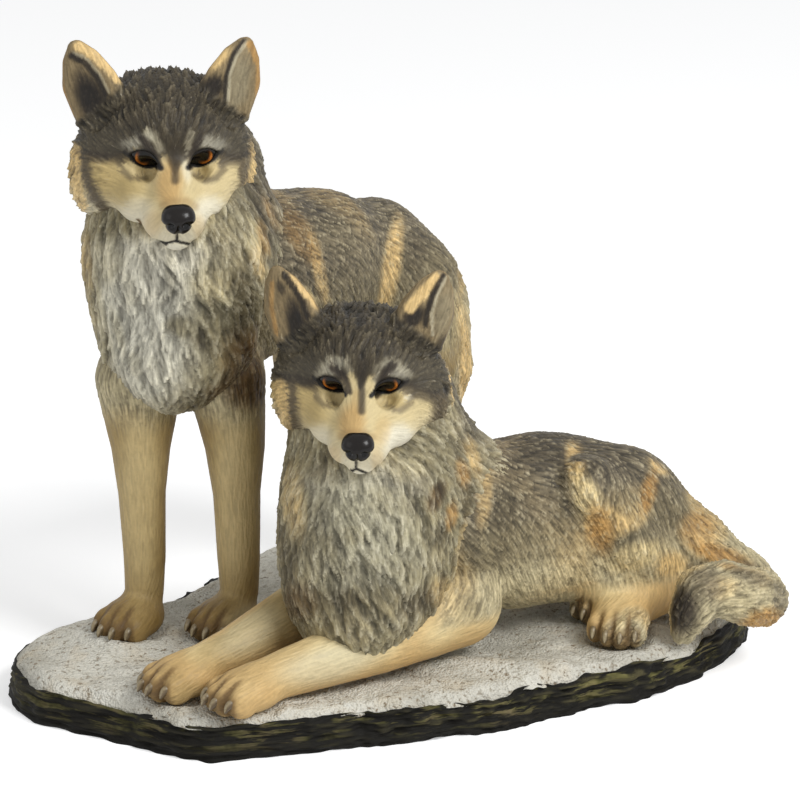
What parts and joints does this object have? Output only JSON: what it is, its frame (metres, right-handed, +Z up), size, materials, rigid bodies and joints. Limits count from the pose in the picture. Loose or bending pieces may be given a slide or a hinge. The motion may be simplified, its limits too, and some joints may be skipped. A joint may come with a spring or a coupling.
{
  "type": "wolf pair figurine",
  "caption": "Cast figurine of a standing wolf and a lying wolf, side by side on one snowy rock base with a flat underside.",
  "frame": {"origin": "centre of the whole figure's plan, on the flat underside of the base", "axes": "+X to the viewer's right along the base, +Y to the rear, away from the side that both wolves face, +Z up"},
  "size_m": [0.2468, 0.186, 0.207],
  "materials": {
    "painted_cast": "hand painted cast resin, matte"
  },
  "bodies": {
    "root": {"wolf_figurine": "painted_cast"}
  },
  "joints": []
}
